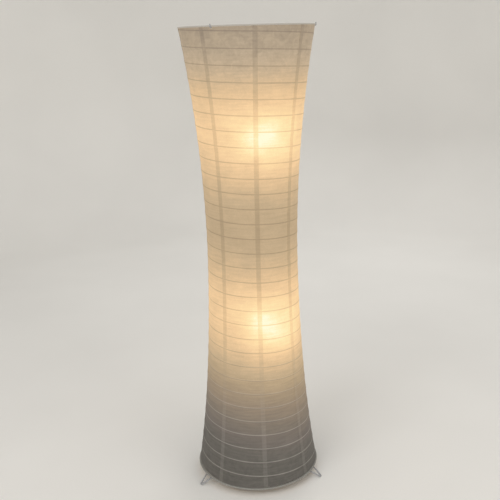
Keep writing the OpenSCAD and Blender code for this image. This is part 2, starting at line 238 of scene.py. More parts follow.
def surface(
    tree, shader, tone, other, grain, rough, depth, stretch=(1, 1, 1), cloud=40, **sockets
):
    """Colour, roughness and bump from a fine grain and a slow cloud, both sized in millimetres.
    The sockets are others of the shader's own, with _ for a space."""
    node = partial(add_node, tree)
    place = node("TexCoord", output="Object")
    along = node("Mapping", {"Vector": place, "Scale": stretch})
    fine = node("TexNoise", {"Vector": along, "Scale": 1 / (grain * MM), "Detail": 3.0})
    slow = node("TexNoise", {"Vector": place, "Scale": 1 / (cloud * MM), "Detail": 2.0})
    both = node("Math", (fine, FINE_SHARE, slow), operation="MULTIPLY_ADD")
    share = node("MapRange", (both, *BOTH_RANGE))
    colour = node("Mix", {0: share, 6: (*other, 1), 7: (*tone, 1)}, 2, data_type="RGBA")
    tree.links.new(colour, shader.inputs["Base Color"])
    gloss = node("MapRange", (share, 0.0, 1.0, rough + DULLER, rough - DULLER))
    tree.links.new(gloss, shader.inputs["Roughness"])
    bump = node("Bump", {"Height": fine, "Distance": depth * MM})
    tree.links.new(bump, shader.inputs["Normal"])
    for socket, value in sockets.items():
        shader.inputs[socket.replace("_", " ")].default_value = value


def powder_coat():
    """Pale grey polyester powder coat baked on steel: satin, with a faint orange-peel skin."""
    colours = bpy.context.scene.lantern_colours
    # The peel is 1.2 mm wide and 0.02 mm deep, so highlights on the wires break up softly. Its
    # darker tone between the bumps is painted shade, mixed with a slow random cloud
    return finish_of(
        "powder_coated_steel", surface, colours.coat, colours.coat_hollow_shade,
        grain=1.2, rough=0.38, depth=0.02, Coat_Weight=0.15,
    )


def rib_enamel():
    """Stove enamel on hard-drawn spring wire: thin, with drawing lines along the wire."""
    rib = bpy.context.scene.lantern_colours.rib
    # Glue from the paper dulls it in patches about 30 mm long
    return finish_of(
        "enamelled_spring_wire", surface, rib, toned(rib, 0.8),
        grain=2, rough=0.5, depth=0.02, cloud=30,
    )


def zinc_plate():
    """Zinc-plated, passivated steel fasteners: cool grey, slightly cloudy."""
    # The plating's clouds are a few millimetres wide
    return finish_of(
        "zinc_plated_steel", surface, linear("#BFC2C4"), linear("#A3A7A8"),
        grain=0.6, rough=0.32, depth=0.01, cloud=5, Metallic=1.0,
    )


def rolled_brass():
    """Stamped brass contacts: warm, rolled in one direction."""
    # Rolling draws the grain out to six times its width
    return finish_of(
        "rolled_brass", surface, linear("#D2B063"), linear("#B89349"),
        grain=0.4, rough=0.3, depth=0.01, stretch=(1, 1, 0.15), cloud=6, Metallic=1.0,
    )


def drawn_aluminium():
    """Drawn aluminium of the bulbs' screw caps: bright, with lines round the cap."""
    # The lines that the die leaves are finer, drawn 0.5 mm apart so that they show
    return finish_of(
        "drawn_aluminium", surface, linear("#D5D6D8"), linear("#BDBEC1"),
        grain=0.5, rough=0.28, depth=0.01, stretch=(0.2, 0.2, 1), cloud=6, Metallic=1.0,
    )


def moulded_white():
    """Injection-moulded PBT: even, with the mould's fine spark-eroded texture."""
    plastic = bpy.context.scene.lantern_colours.plastic
    # Spark erosion leaves pits of about 0.3 mm, drawn at 0.7 mm so that they show
    return finish_of(
        "moulded_white_plastic", surface, plastic, toned(plastic, 0.93),
        grain=0.7, rough=0.42, depth=0.015, IOR=1.52,
    )


def fired_steatite():
    """Unglazed steatite: warm white, matt, with pores."""
    ceramic = bpy.context.scene.lantern_colours.ceramic
    # Pores of a few tenths of a millimetre, drawn at 0.8 mm, and burnt spots 8 mm wide
    return finish_of(
        "fired_steatite", surface, ceramic, toned(ceramic, 0.86),
        grain=0.8, rough=0.65, depth=0.03, cloud=8,
    )


def lead_sheath():
    """Extruded PVC sheath of the leads: smooth, with slow waves from the extruder."""
    sheath = bpy.context.scene.lantern_colours.sheath
    # The waves are 25 mm long
    return finish_of(
        "extruded_pvc_sheath", surface, sheath, toned(sheath, 0.9),
        grain=1.5, rough=0.36, depth=0.01, stretch=(1, 1, 0.3), cloud=25, IOR=1.53,
    )


def bush_rubber():
    """Moulded nitrile rubber: near black, matt, with a dusty bloom."""
    rubber = bpy.context.scene.lantern_colours.rubber
    # The bloom lies in patches about 4 mm wide
    return finish_of(
        "moulded_rubber", surface, rubber, toned(rubber, 1.9),
        grain=0.5, rough=0.75, depth=0.03, cloud=4,
    )


def led_board():
    """Aluminium board under a white solder mask, with yellow phosphor leds."""
    # Leds 3 mm wide show as yellow patches in the white mask
    return finish_of(
        "solder_masked_board", surface, linear("#E6DFC4"), linear("#D8BE72"),
        grain=3, rough=0.45, depth=0.02, cloud=6,
    )


def opal_dome():
    """Opal polycarbonate lit from inside: an even, warm, bright skin with faint clouds."""
    # The clouds are those of the bulb's own diffuser, about 40 mm wide
    return finish_of(
        "opal_polycarbonate", surface, linear("#F3EDE0"), linear("#E9E0CE"),
        grain=2, rough=0.3, depth=0.005, IOR=1.58,
        Emission_Color=(*linear("#FFE2B0"), 1), Emission_Strength=0.8,
    )


SMOOTH = {"interpolation_type": "SMOOTHSTEP"}  # eases a range in and out
# Tones of the lit paper, from the dimmest to the brightest
LIT_TONES = (
    "#67635D", "#746C65", "#80766A", "#918271", "#A08E77", "#B49E80", "#C5AC8A",
    "#DCBC93", "#F2CD9E", "#FCDAA6", "#FDE8B2", "#FEF3C5", "#FEFAD8",
)
# Light of each bulb on the paper, as strength and millimetres over the bulb's centre: a ring
# right round the shade, a halo on the bulb's side, and the glare where the bulb shines through
BULB_LIGHT = {
    "upper": {"ring": (0.334, 22), "halo": (0.20, -8), "glare": (0.30, 6)},
    "lower": {"ring": (0.314, 50), "halo": (0.28, -13), "glare": (0.27, 26)},
}
RING_FADE = 4  # powers at which the light falls off, slow at first and then steep
SPOT_FADE = 2
BOUNCED = 0.144  # light that bounces about inside
BOUNCE_HEIGHTS = (0.06, 0.45)  # it grows over these heights
BOUNCE_SLANT = 0.27  # metres that its edge lies lower for each metre to the right
DIMMED = 0.98  # all of it, to the photograph's exposure
FIBRE, CRUMPLE, CREASE, STRAND, CLOUD = 3, 15, 5, 1, 50  # widths in millimetres
PULP_RANGE = (0.2, 0.8)  # where the noise of fibres and clouds lies
FIBROUS = (0.965, 1.035)  # how fibres change the light
CLOUDED = (0.94, 1.06)  # and how clouds do
CRUMPLE_SHADE = 0.5  # how strongly the crumples' painted highlights and shade change the light
END_DEPTHS = (0.03, 0.17, 1.0, 0.25)  # metres from an end, and the crumples' depth there
CREASED = (0.3, 0.7, -0.045, 0.045)  # where the creases' noise lies, and what it adds
CREASE_SHADE_HEIGHTS = (0.1, 0.45, 2.2, 1.0)  # heights, and how strongly the creases' painted shade shows there
STRAND_LIES = ((0.2, 0.7, 0), (-0.3, -1.0, 0.4))  # two directions, as rotations
STRAND_LONG = 12  # times as long as they are wide
STRAND_RANGE = (0.62, 0.74)  # the noise over which a strand stands out
STRAND_LIT = 0.08  # how strongly strands change the light
CRUMPLE_HIGH = 10.0  # height in the relief, in heights of a fibre
CREASE_HIGH = 1.5
RELIEF = 0.15 * MM
PAPER_ROUGH = 0.8
WIRE_FADE = (0.5, 2.0)  # millimetres beside the wire over which its line fades
SHADOW_LIFT = -0.4  # millimetres: the wire's shadow lies just under it
RIDGE_LIFT = 0.8  # and the painted highlight on the ridge just over it
LAP_FADE = (-1.5, 1)  # millimetres about a lap's edge over which it fades
DIM_HEIGHTS = (0.12, 0.52)  # over these heights the paper goes from dim to lit
HELD_BACK = 0.24  # share of the light that the wire holds back
LAP_HOLDS = 0.6  # what a lap holds back against the wire
LAP_HIGHLIGHT = 0.25  # how strong the painted highlight on a lap is at the dim end, against the ridge's
WIRE_SHADOW_TONE = 0.34  # how much darker the lit paper's base colour is over the wire and laps: painted shadow
TOP_HEIGHTS = (1.08, 1.2)  # over these heights the light turns less orange
TOP_TINT = (0.93, 1, 1.22)


def light_behind(node, place, height, bulbs, shade):
    """Light that reaches the paper from inside. It is worked out from the place on the shade,
    so that it is the same from every side."""
    slanted = node("VectorMath", (place, (BOUNCE_SLANT, 0, 1)), "Value", operation="DOT_PRODUCT")
    light = node("MapRange", (slanted, *BOUNCE_HEIGHTS, 0.0, BOUNCED), **SMOOTH)
    spots = {
        "halo": (bulbs.turn, bulbs.halo_reach),
        "glare": (bulbs.glare_angle, bulbs.glare_reach),
    }
    for bulb, parts in BULB_LIGHT.items():
        for part, (strength, lift) in parts.items():
            at = getattr(bulbs, bulb) + lift * MM
            if part == "ring":
                reach, fade = bulbs.ring_reach, RING_FADE
                away = node("Math", (height, at), operation="SUBTRACT")
            else:
                (turn, reach), fade = spots[part], SPOT_FADE
                spot = tuple(compass(shade_radius(at, shade), turn, at))
                away = node("VectorMath", (place, spot), "Value", operation="DISTANCE")
            # strength / (1 + (away / reach)^2)^fade
            near = node("Math", (away, reach), operation="DIVIDE")
            fall = node("Math", (near, near, 1.0), operation="MULTIPLY_ADD")
            fall = node("Math", (fall, -fade), operation="POWER")
            light = node("Math", (fall, strength, light), operation="MULTIPLY_ADD")
    return node("Math", (light, bulbs.glow), operation="MULTIPLY")


def paper_pulp(node, place, height):
    """How unevenly the pulp passes and takes light, with painted highlights and shade on its
    crumples and creases, and the height of its crumples.
    """
    fibre = node("TexNoise", {"Vector": place, "Scale": 1 / (FIBRE * MM), "Detail": 2.0})
    fibrous = node("MapRange", (fibre, *PULP_RANGE, *FIBROUS))
    # Crumples, which are deeper within a hand's breadth of both ends. Their glints and darker
    # facets are painted into the light and colour, beside the bump
    winding = {"Scale": 1 / (CRUMPLE * MM), "Detail": 4.0, "Distortion": 0.8}
    crumple = node("TexNoise", {"Vector": place, **winding})
    crumple = node("Math", (crumple, 0.5), operation="SUBTRACT")
    from_low = node("Math", (height, LOW_Z), operation="SUBTRACT")
    from_end = node("Math", (from_low, (TOP_Z - LOW_Z) / 2), operation="PINGPONG")
    deeper = node("MapRange", (from_end, *END_DEPTHS), **SMOOTH)
    crumple = node("Math", (crumple, deeper), operation="MULTIPLY")
    pulp = node("Math", (crumple, CRUMPLE_SHADE, fibrous), operation="MULTIPLY_ADD")
    # Level creases from being folded flat, ten times as long as they are wide. The fold marks are
    # real; their painted light and shade show most at the lower end, where the light falls along
    # the paper
    level = node("Mapping", {"Vector": place, "Scale": (0.1, 0.1, 1)})
    crease = node("TexNoise", {"Vector": level, "Scale": 1 / (CREASE * MM), "Detail": 2.0})
    creased = node("MapRange", (crease, *CREASED))
    crease_shade_gain = node("MapRange", (height, *CREASE_SHADE_HEIGHTS))
    pulp = node("Math", (creased, crease_shade_gain, pulp), operation="MULTIPLY_ADD")
    # Single strands of bark. Real ones are half as wide as these, which still show
    for lie in STRAND_LIES:
        stretched = {"Vector": place, "Rotation": lie, "Scale": (1, 1, STRAND_LONG)}
        along = node("Mapping", stretched, vector_type="TEXTURE")
        strand = node("TexNoise", {"Vector": along, "Scale": 1 / (STRAND * MM), "Detail": 1.0})
        strand = node("MapRange", (strand, *STRAND_RANGE), **SMOOTH)
        pulp = node("Math", (strand, STRAND_LIT, pulp), operation="MULTIPLY_ADD")
    relief = node("Math", (crumple, CRUMPLE_HIGH, fibre), operation="MULTIPLY_ADD")
    relief = node("Math", (crease, CREASE_HIGH, relief), operation="MULTIPLY_ADD")
    return pulp, relief


def over_wire(node, turn, pitch, lift):
    """1 on the paper so many millimetres above the wire, fading to 0 beside it."""
    turn = node("Math", (turn, lift / pitch), operation="ADD")
    turns_off = node("Math", (turn, 0.5), operation="PINGPONG")
    off = node("Math", (turns_off, pitch), operation="MULTIPLY")
    return node("MapRange", (off, *WIRE_FADE, 1.0, 0.0), **SMOOTH)


def lit_paper(tree, shader, colours, bulbs, shade):
    """Paper with the bulbs' light behind it: the wire and the second layer of a lap hold the
    light back. Where lit, a painted shadow darkens their base colour; at the lower end, where
    hardly any light comes, a painted highlight makes them paler."""
    node = partial(add_node, tree)
    base = tuple(colours.paper)
    brightest = linear(LIT_TONES[-1])[1] - base[1]
    place = node("TexCoord", output="Object")
    height = node("SeparateXYZ", (place,), "Z")
    pulp, relief = paper_pulp(node, place, height)
    cloud = node("TexNoise", {"Vector": place, "Scale": 1 / (CLOUD * MM), "Detail": 1.0})
    clouded = node("MapRange", (cloud, *PULP_RANGE, *CLOUDED))
    level = light_behind(node, place, height, bulbs, shade)
    for factor in (pulp, clouded, DIMMED / brightest):
        level = node("Math", (level, factor), operation="MULTIPLY")

    drawn = node("Attribute", output="Vector", attribute_name="drawn")
    edge, turn = (node("SeparateXYZ", (drawn,), axis) for axis in "XY")
    pitch, lap = (TOP_Z - LOW_Z) / shade.turns / MM, shade.lap / MM
    shaded, ridge = (over_wire(node, turn, pitch, lift) for lift in (SHADOW_LIFT, RIDGE_LIFT))
    lap_edge = [lap + off for off in LAP_FADE]
    lapped = node("MapRange", (edge, *lap_edge, 1.0, 0.0), **SMOOTH)
    dim = node("MapRange", (height, *DIM_HEIGHTS, 1.0, 0.0), **SMOOTH)
    lit = node("Math", (1.0, dim), operation="SUBTRACT")
    # Painted highlight on the ridge over the wire and on the laps, only at the dim lower end
    paler = node("Math", (lapped, LAP_HIGHLIGHT), operation="MULTIPLY")
    paler = node("Math", (ridge, paler), operation="MAXIMUM")
    paler = node("Math", (paler, dim), operation="MULTIPLY")
    glued = node("Math", (lapped, lit), operation="MULTIPLY")
    glued = node("Math", (glued, LAP_HOLDS), operation="MULTIPLY")
    held = node("Math", (shaded, glued), operation="MAXIMUM")
    passed = node("Math", (held, -HELD_BACK, 1.0), operation="MULTIPLY_ADD")
    level = node("Math", (level, passed), operation="MULTIPLY")

    ramp = node("ValToRGB", (level,))
    stops = ramp.node.color_ramp.elements
    stops[0].color = (0, 0, 0, 1)
    for tone in LIT_TONES:
        light = linear(tone)
        share = (light[1] - base[1]) / brightest
        stop = stops[-1] if tone == LIT_TONES[-1] else stops.new(share)
        stop.color = (*(max(0.0, c - b) for c, b in zip(light, base)), 1)
    # The top end is less orange, as light also comes in through its mouth
    top_end = node("MapRange", (height, *TOP_HEIGHTS), **SMOOTH)
    tint = {0: top_end, 6: (1, 1, 1, 1), 7: (*TOP_TINT, 1)}
    tint = node("Mix", tint, 2, data_type="RGBA")
    glow = node("VectorMath", (ramp, tint), operation="MULTIPLY")
    tree.links.new(glow, shader.inputs["Emission Color"])
    shader.inputs["Emission Strength"].default_value = 1.0

    # Painted highlight: the paler tone over the ridge and laps at the dim end
    tone = node("Mix", {0: paler, 6: (*base, 1), 7: (*colours.crest_highlight, 1)}, 2, data_type="RGBA")
    # Painted shadow of the wire and laps in the base colour where lit, with the pulp's unevenness
    shadow_and_pulp = node("Math", (held, lit), operation="MULTIPLY")
    shadow_and_pulp = node("Math", (shadow_and_pulp, -WIRE_SHADOW_TONE, 1.0), operation="MULTIPLY_ADD")
    shadow_and_pulp = node("Math", (shadow_and_pulp, pulp), operation="MULTIPLY")
    tone = node("VectorMath", {0: tone, "Scale": shadow_and_pulp}, operation="SCALE")
    tree.links.new(tone, shader.inputs["Base Color"])
    bump = node("Bump", {"Height": relief, "Distance": RELIEF})
    tree.links.new(bump, shader.inputs["Normal"])
    shader.inputs["Roughness"].default_value = PAPER_ROUGH


def lantern_paper():
    """Lacquered mulberry paper: fibrous, creased flat by folding, glowing where a bulb is near."""
    scene = bpy.context.scene
    return finish_of(
        "lacquered_mulberry_paper", lit_paper,
        scene.lantern_colours, scene.lantern_bulbs, scene.lantern_shade,
    )


# Light that the upper bulb sends through the strip on the top ring
STRIP_LIGHT = "#787168"


def binding_paper(lit):
    """Paper strip glued round the end rings: paler, wound in turns about 9 mm wide."""
    scene = bpy.context.scene
    name, light = "glued_paper_strip", {}
    if lit:
        name += "_lit"
        light["Emission_Color"] = (*linear(STRIP_LIGHT), 1)
        light["Emission_Strength"] = scene.lantern_bulbs.glow
    strip = scene.lantern_colours.strip
    return finish_of(
        name, surface, strip, toned(strip, 0.9),
        grain=9, rough=0.75, depth=0.15, cloud=3, **light,
    )


def wall_paint():
    """Pale matt wall paint, rolled: a faint stipple 4 mm wide."""
    return finish_of(
        "rolled_wall_paint", surface, linear("#F0EEEA"), linear("#EBE9E5"),
        grain=4, rough=0.9, depth=0.05, cloud=600,
    )


SAME_POINT = 0.01 * MM  # points nearer than this are one
SHARP = 40  # degrees: an edge that turns further stays sharp, or gets a bevel


def dress(material, *nodes, bevel=0.0):
    """Gives CAD nodes a material, and breaks their sharp edges by so many millimetres."""
    for name in nodes:
        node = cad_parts[name]
        if not node.material_slots:
            node.data.materials.append(material)
        for slot in node.material_slots:
            slot.material = material
        if bevel:
            weld = node.modifiers.new("weld", "WELD")
            weld.merge_threshold = SAME_POINT
            rounding = node.modifiers.new("bevel", "BEVEL")
            rounding.width = bevel * MM
            rounding.segments = 2
            rounding.limit_method = "ANGLE"
            rounding.angle_limit = math.radians(SHARP)


# ---- shapes ----


def compass(radius, turn, height):
    """The point at a radius, compass angle and height."""
    return np.stack(
        np.broadcast_arrays(radius * np.sin(turn), -radius * np.cos(turn), height), axis=-1
    )


def turn_from(middle, turn):
    """How far a compass angle is from the middle one, at most half a turn either way."""
    return (turn - middle + math.pi) % math.tau - math.pi


def beside(turn, out, across, height):
    """The point so far out along a compass angle, so far across it, and at a height."""
    way, side = compass(1, turn, 0), compass(1, turn + math.pi / 2, 0)
    return way * out + side * across + np.array([0, 0, height])


def shade_radius(height, shade):
    """Radius of the rib wire's path at a height."""
    waist = LOW_Z + shade.waist_share * (TOP_Z - LOW_Z)
    up = np.asarray(height) > waist
    reach = np.where(up, TOP_Z - waist, waist - LOW_Z)
    share = np.clip(np.abs(height - waist) / reach, 0, 1)
    below = shade.flare * share**1.5 + (1 - shade.flare) * share**3
    opened = np.where(up, share**2, below)
    return shade.waist_radius + (shade.end_radius - shade.waist_radius) * opened


def unit(vector):
    """The vector at length 1."""
    return vector / np.linalg.norm(vector)


def rounded(corners, radii, steps=8):
    """A path through the corners, with an arc of the given radius at each inner one."""
    corners = [np.asarray(c, float) for c in corners]
    path = [corners[0]]
    for before, corner, after, radius in zip(corners, corners[1:], corners[2:], radii):
        back, on = unit(before - corner), unit(after - corner)
        half = math.acos(np.clip(back @ on, -1, 1)) / 2
        centre = corner + unit(back + on) * radius / math.sin(half)
        start = corner + back * radius / math.tan(half) - centre
        end = corner + on * radius / math.tan(half) - centre
        across = unit(end - (end @ start) / (start @ start) * start) * radius
        for step in range(steps + 1):
            angle = (math.pi - 2 * half) * step / steps
            path.append(centre + start * math.cos(angle) + across * math.sin(angle))
    path.append(corners[-1])
    return np.array(path)


def skin(points, closed_rows=False, closed_columns=False, keep=None):
    """A mesh over a grid of points. keep says which cells get a face."""
    rows, columns = points.shape[:2]
    made = bmesh.new()
    corners = [made.verts.new(p) for p in points.reshape(-1, 3)]
    for i in range(rows if closed_rows else rows - 1):
        for j in range(columns if closed_columns else columns - 1):
            if keep is None or keep[i, j]:
                a, b = i * columns, (i + 1) % rows * columns
                k = (j + 1) % columns
                made.faces.new((corners[a + j], corners[a + k], corners[b + k], corners[b + j]))
    return made


def closed_ends(made, sides):
    """Closes both ends of a tube that has so many sides, and turns its faces outwards."""
    made.verts.ensure_lookup_table()
    made.faces.new(made.verts[:sides][::-1])
    made.faces.new(made.verts[-sides:])
    bmesh.ops.recalc_face_normals(made, faces=made.faces[:])
    return made


END_RINGS = np.radians([80, 60, 35])  # rings of a wire's round end, from its tip
ACROSS = (0.3, 0.2, 0.9)  # a direction that no wire starts in


def swept(path, radius, sides=16):
    """A round wire along a path, with rounded ends."""
    path = np.asarray(path, float)
    radii = np.full(len(path), radius)
    first, last = unit(path[0] - path[1]), unit(path[-1] - path[-2])
    start = path[0] + np.outer(np.sin(END_RINGS) * radius, first)
    end = path[-1] + np.outer(np.sin(END_RINGS[::-1]) * radius, last)
    path = np.vstack([start, path, end])
    thinner = np.cos(END_RINGS) * radius
    radii = np.concatenate([thinner, radii, thinner[::-1]])
    steps = np.diff(path, axis=0)
    steps /= np.linalg.norm(steps, axis=1)[:, None]
    ahead = np.vstack([steps[:1], steps[:-1] + steps[1:], steps[-1:]])
    ahead /= np.linalg.norm(ahead, axis=1)[:, None]
    side = np.cross(ahead[0], ACROSS)
    angles = np.arange(sides) * math.tau / sides
    rings = []
    for point, forward, r in zip(path, ahead, radii):
        side = unit(side - (side @ forward) * forward)
        other = np.cross(forward, side)
        around = np.outer(np.cos(angles), side) + np.outer(np.sin(angles), other)
        rings.append(point + r * around)
    return closed_ends(skin(np.array(rings), closed_columns=True), sides)


def placed(name, data):
    """A new object in the scene."""
    made = bpy.data.objects.new(name, data)
    bpy.context.scene.collection.objects.link(made)
    return made


def as_object(name, form, material):
    """Turns a built form into a smooth object."""
    for face in form.faces:
        face.smooth = True
    mesh = bpy.data.meshes.new(name)
    form.to_mesh(mesh)
    form.free()
    mesh.materials.append(material)
    return placed(name, mesh)


def as_piece(name, form, material, body, replaces, sharp=SHARP):
    """Turns a built form into a piece of the lamp that rides on a body, in place of CAD nodes."""
    for edge in form.edges:
        edge.smooth = edge.calc_face_angle(0) < math.radians(sharp)
    piece = as_object(name, form, material)
    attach(piece, body)
    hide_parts(*replaces)
    return piece


def fold_with_lift(piece):
    """Gives the piece a mesh of its own."""
    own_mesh(piece)


# ---- the paper shade ----

ROWS = 6  # rows of paper mesh in one pitch of the spiral
COLUMNS = 18  # columns in one gore
OVER_WIRE = 0.1 * MM  # gap between the wire and the paper over it
SLIT_HALF = 2.5 * MM
SLIT_LOW = 3.8 * MM  # depth of a slit under the paper's top edge
NEAR_SLIT = 0.03  # columns nearer to a slit's side than this give way to it
PITCH_SHARE_CURVE = 4  # makes x(1 - x) 1 at its highest, halfway between two ribs
WAVES = 7
WAVE_COUNTS = (3, 22)  # waves round the shade
WAVE_HEIGHTS = (22, 70)  # millimetres from wave to wave up the shade
WAVE_STARTS = (0, 6.3)  # radians
WAVE_SEED = 5
DEEPER_FROM = 1.1  # height from which the waves grow deeper, in metres
DEEPER_OVER = 0.12  # and the height that it takes
DEEPEST = 3  # times as deep


def wrinkles(turn, height, amount):
    """Slow waves of the paper, the same for both layers of a lap. Deeper near the top."""
    rng = np.random.default_rng(WAVE_SEED)
    total = 0
    for _ in range(WAVES):
        count, length = rng.integers(*WAVE_COUNTS), rng.uniform(*WAVE_HEIGHTS) * MM
        start = rng.uniform(*WAVE_STARTS)
        total = total + np.sin(count * turn + height / length * math.tau + start)
    near_top = np.clip((height - DEEPER_FROM) / DEEPER_OVER, 0, 1)
    return amount * total / WAVES * (1 + (DEEPEST - 1) * near_top)


class LANTERN_OT_paper(bpy.types.Operator):
    """Glues eight gores of paper over the ribs, lapped at straight seams"""

    bl_idname = "lantern.paper"
    bl_label = "Paper gores"

    def execute(self, context):
        for number in range(1, GORES + 1):
            self.gore(number, context.scene.lantern_shade, context.scene.lantern_stand)
        return {"FINISHED"}

    def gore(self, number, shade, stand):
        half = math.pi / GORES
        middle = shade.seam_angle + (2 * number - 1) * half
        layer = number % 2  # every other gore lies over its neighbours
        pitch = (TOP_Z - LOW_Z) / shade.turns
        widest = half + shade.lap / 2 / RING_R
        across, slit = self.columns(middle, half, widest, stand)

        # Rows follow the spiral, so that the paper can fold sharply over the wire
        rows = np.arange(-ROWS, (shade.turns + 2) * ROWS) / ROWS
        first_turn = middle - shade.rib_angle
        first_turn -= math.tau * math.floor(first_turn / math.tau)
        turn = middle + widest * across
        # Height and angle depend on each other a little, so both are worked out three times
        for _ in range(3):
            height = TOP_Z - pitch * (rows[:, None] + (turn - middle + first_turn) / math.tau)
            height = np.clip(height, PAPER_LOW, PAPER_HIGH)
            edge = half + np.arcsin(shade.lap / 2 / shade_radius(height, shade))
            turn = middle + edge * across
        # A row of its own runs along the slit's lower end
        slit_z = np.full((1, len(across)), PAPER_HIGH - SLIT_LOW)
        height = -np.sort(-np.vstack([height, slit_z]), axis=0)
        edge = half + np.arcsin(shade.lap / 2 / shade_radius(height, shade))
        turn = middle + edge * across
        along = (TOP_Z - height) / pitch - (turn - shade.rib_angle) / math.tau
        share = along % 1
        between = PITCH_SHARE_CURVE * share * (1 - share)
        inner = (
            shade_radius(height, shade)
            + shade.rib_wire / 2
            + OVER_WIRE
            + layer * (shade.paper + shade.glue_gap)
            - shade.sag * between
        )
        inner = inner + between * wrinkles(turn, height, shade.wrinkle)
        points = compass(inner, turn, height)
        keep = np.ones((len(height) - 1, len(across) - 1), bool)
        if slit:
            centre_z = (height[:-1, :-1] + height[1:, 1:]) / 2
            centre_a = (across[:-1] + across[1:]) / 2
            keep &= ~(
                (centre_z > PAPER_HIGH - SLIT_LOW) & (centre_a > slit[0]) & (centre_a < slit[1])
            )
        made = skin(points, keep=keep)
        bmesh.ops.remove_doubles(made, verts=made.verts[:], dist=2 * SAME_POINT)
        loose = [v for v in made.verts if not v.link_faces]
        bmesh.ops.delete(made, geom=loose, context="VERTS")
        bmesh.ops.recalc_face_normals(made, faces=made.faces[:])
        made.faces.ensure_lookup_table()
        face = made.faces[len(made.faces) // 2]
        outward = face.calc_center_median() * Vector((1, 1, 0))
        if face.normal.dot(outward) < 0:
            bmesh.ops.reverse_faces(made, faces=made.faces[:])
        bmesh.ops.solidify(made, geom=made.faces[:], thickness=-shade.paper)
        bmesh.ops.recalc_face_normals(made, faces=made.faces[:])
        node = f"paper_gore_{number}"
        piece = as_piece(
            f"gore_{number}", made, lantern_paper(), "stand", [node]
        )
        self.mark(piece.data, middle, half, pitch, shade)
        fold_with_lift(piece)

    @staticmethod
    def columns(middle, half, widest, stand):
        """Places of the columns, from -1 to 1 across the gore, and of the two sides of a slit
        where a hook of the spider passes through it."""
        across = list(np.linspace(-1, 1, COLUMNS + 1))
        slit = None
        for arm in range(ARMS):
            off = turn_from(middle, stand.arm_angle + arm * math.tau / ARMS)
            if abs(off) < half:
                slit = [(off + side * SLIT_HALF / RING_R) / widest for side in (-1, 1)]
                across = [a for a in across if min(abs(a - s) for s in slit) > NEAR_SLIT]
                across = [a for a in across if not slit[0] < a < slit[1]] + slit
        return np.array(sorted(across)), slit

    @staticmethod
    def mark(mesh, middle, half, pitch, shade):
        """Keeps, for the material, the millimetres from the gore's edge and the turns of the
        spiral from its start."""
        spots = np.zeros(len(mesh.vertices) * 3, np.float32)
        mesh.vertices.foreach_get("co", spots)
        x, y, z = spots.reshape(-1, 3).T.astype(float)
        off = turn_from(middle, np.arctan2(x, -y))
        edge = (np.hypot(x, y) * (half - np.abs(off)) + shade.lap / 2) / MM
        turns = (TOP_Z - z) / pitch - (middle + off - shade.rib_angle) / math.tau
        drawn = mesh.attributes.new("drawn", "FLOAT_VECTOR", "POINT")
        drawn.data.foreach_set(
            "vector", np.stack([edge, turns, 0 * z], 1).astype(np.float32).ravel()
        )


RINGS_A_TURN = 36  # rings of mesh in a turn of the wire


class LANTERN_OT_rib_wire(bpy.types.Operator):
    """Winds the spiral rib wire down the inside of the paper"""

    bl_idname = "lantern.rib_wire"
    bl_label = "Rib wire"

    def execute(self, context):
        shade = context.scene.lantern_shade
        pitch = (TOP_Z - LOW_Z) / shade.turns
        stub = 1.3 * shade.rib_wire  # bent up at the top end, and down at the lower one
        sunk = 0.8 * MM  # in the top binding
        bend = 1.5 * MM
        start = (TOP_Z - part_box("top_binding")[0].z + stub) / pitch
        end = (TOP_Z - PAPER_LOW - stub) / pitch
        turns = np.linspace(start, end, int((end - start) * RINGS_A_TURN))
        height = TOP_Z - pitch * turns
        path = compass(
            shade_radius(height, shade), shade.rib_angle + turns * math.tau, height
        )
        up, down = np.array([0, 0, stub + sunk]), np.array([0, 0, -stub])
        head = rounded([path[0] + up, path[0], path[1]], [bend], steps=4)[:-1]
        tail = rounded([path[-2], path[-1], path[-1] + down], [bend], steps=4)[1:]
        path = np.vstack([head, path[1:-1], tail])
        made = swept(path, shade.rib_wire / 2, sides=10)
        piece = as_piece(
            "spiral_rib_wire", made, rib_enamel(), "stand", ["rib_wire"]
        )
        fold_with_lift(piece)
        return {"FINISHED"}


STRIP_TURNS = 108  # turns of the paper strip round a ring
STRIP_UNEVEN = 0.04 * MM
STRIP_STEPS, STRIP_SIDES = 288, 20  # of mesh, along the ring and round it
LIP_NARROW = 12  # power that draws the lip in to a ridge


class LANTERN_OT_bindings(bpy.types.Operator):
    """Binds the two end rings with a strip of paper"""

    bl_idname = "lantern.bindings"
    bl_label = "Bound end rings"

    def execute(self, context):
        dress(rib_enamel(), "top_ring", "bottom_ring")
        for node, body, height, lip in (
            ("top_binding", "stand", TOP_Z, 0.0),
            ("bottom_binding", "shade_hem", LOW_Z, PAPER_LOW),
        ):
            low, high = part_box(node)
            thick = (high.z - low.z) / 2
            ring = high.x - thick
            turns = np.linspace(0, math.tau, STRIP_STEPS, endpoint=False)[:, None]
            round_it = np.linspace(0, math.tau, STRIP_SIDES, endpoint=False)
            # The turns of the strip make the ring a little uneven
            wound = np.sin(STRIP_TURNS * turns + 2 * round_it)
            uneven = STRIP_UNEVEN * wound - STRIP_UNEVEN
            # The bottom strip reaches up to the paper's lower edge in a narrow lip
            crown = max(0.0, lip - high.z) * np.clip(np.sin(round_it), 0, 1) ** LIP_NARROW
            depth = thick + uneven + crown
            points = compass(
                ring + depth * np.cos(round_it), turns, height + depth * np.sin(round_it)
            )
            made = skin(points, closed_rows=True, closed_columns=True)
            bmesh.ops.recalc_face_normals(made, faces=made.faces[:])
            strip = binding_paper(node == "top_binding")
            as_piece(f"{node}_strip", made, strip, body, [node])
        return {"FINISHED"}


# ---- the stand ----


FOOT_START_R = 30 * MM  # under the base plate
FOOT_BEND_R = 174 * MM  # where a foot turns down, under the bottom ring
FOOT_BEND = 6 * MM  # radii of the bends
FOOT_TIP_BEND = 3 * MM


